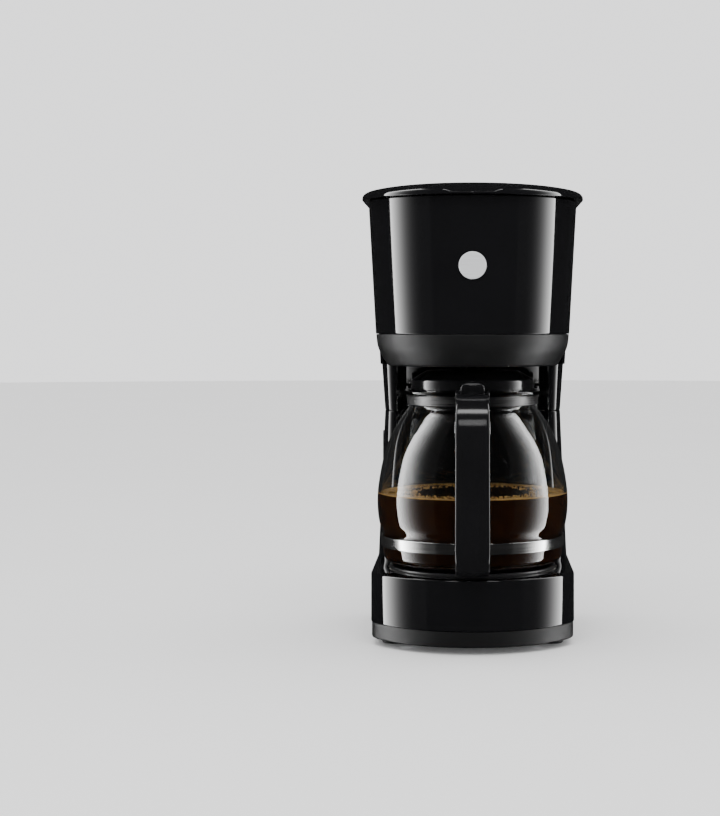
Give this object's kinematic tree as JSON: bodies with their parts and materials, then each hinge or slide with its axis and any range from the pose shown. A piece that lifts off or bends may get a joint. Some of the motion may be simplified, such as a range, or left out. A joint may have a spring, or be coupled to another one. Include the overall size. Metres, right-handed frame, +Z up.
{
  "type": "drip coffee maker",
  "caption": "Upright drip coffee maker with a flared round head on a rear column, a low base with a hot plate, and a lidded glass carafe with an open side handle.",
  "frame": {"origin": "on the table under the middle of the object's box, with the carafe in place", "axes": "+Z up, the carafe handle and the front face -Y, +X to the right of someone who faces the front"},
  "size_m": [0.161, 0.225, 0.3284],
  "materials": {
    "gloss_black": "piano gloss",
    "matte_black": "fine matte grain",
    "satin_black": "satin",
    "brushed_steel": "brushed",
    "polished_steel": "polished",
    "zinc_steel": "zinc plated",
    "aluminium": "cast",
    "rubber": "matte",
    "silicone": "translucent",
    "fuse_sleeve": "woven glass sleeve",
    "smoked_plastic": "smoked translucent",
    "clear_glass": "clear",
    "plate_coating": "non-stick coating",
    "badge_silver": "satin"
  },
  "bodies": {
    "root": {"bottom_cover": "matte_black", "foot_1": "rubber", "foot_2": "rubber", "foot_3": "rubber", "foot_4": "rubber", "cover_screw_1": "zinc_steel", "cover_screw_2": "zinc_steel", "cover_screw_3": "zinc_steel", "cover_screw_4": "zinc_steel", "lower_housing": "gloss_black", "hot_plate": "plate_coating", "hot_plate_seal": "silicone", "heater_tube": "aluminium", "heater_clamp": "zinc_steel", "clamp_screw_1": "zinc_steel", "clamp_screw_2": "zinc_steel", "thermostat": "aluminium", "thermal_fuse_1": "fuse_sleeve", "thermal_fuse_2": "fuse_sleeve", "switch_bezel": "satin_black", "rear_cover": "matte_black", "rear_screw_1": "zinc_steel", "rear_screw_2": "zinc_steel", "rear_screw_3": "zinc_steel", "rear_screw_4": "zinc_steel", "cord_gland": "rubber", "water_tank": "smoked_plastic", "tank_seal": "silicone", "check_valve": "silicone", "inlet_hose": "silicone", "riser_tube": "silicone", "spout": "satin_black", "level_window": "smoked_plastic", "upper_housing": "gloss_black", "head_band": "matte_black", "badge": "badge_silver", "lid_pin_left": "zinc_steel", "lid_pin_right": "zinc_steel"},
    "lid": {"top_lid": "gloss_black"},
    "basket": {"filter_basket": "satin_black", "valve_spring": "zinc_steel"},
    "valve": {"drip_valve": "satin_black", "valve_seal": "silicone"},
    "carafe": {"carafe_glass": "clear_glass", "carafe_collar": "brushed_steel", "carafe_strap": "polished_steel", "carafe_handle": "satin_black", "handle_screw_upper": "zinc_steel", "handle_screw_lower": "zinc_steel", "carafe_lid_pin": "zinc_steel"},
    "carafe_cover": {"carafe_lid": "satin_black"},
    "switch": {"power_switch": "satin_black"}
  },
  "joints": [
    {"name": "lid_hinge", "type": "hinge", "parent": "root", "child": "lid", "pos_m": [0, 0.1015, 0.3206], "axis": [-1, 0, 0], "range_deg": [0, 95]},
    {"name": "basket_lift", "type": "slide", "parent": "root", "child": "basket", "axis": [0, 0, 1], "range_m": [0, 0.01]},
    {"name": "valve_lift", "type": "slide", "parent": "basket", "child": "valve", "axis": [0, 0, 1], "range_m": [0, 0.0047], "deforming": ["valve_spring"]},
    {"name": "carafe_slide", "type": "slide", "parent": "root", "child": "carafe", "axis": [0, -1, 0], "range_m": [0, 0.25]},
    {"name": "carafe_lid_hinge", "type": "hinge", "parent": "carafe", "child": "carafe_cover", "pos_m": [0, -0.0575, 0.1766], "axis": [1, 0, 0], "range_deg": [0, 4]},
    {"name": "switch_rock", "type": "hinge", "parent": "root", "child": "switch", "pos_m": [0.0705, 0.0165, 0.034], "axis": [0, 0, 1], "range_deg": [0, 12]}
  ],
  "couplings": [
    {"joint": "valve_lift", "follows": "carafe_lid_hinge", "m_per_rad": 0.066}
  ]
}
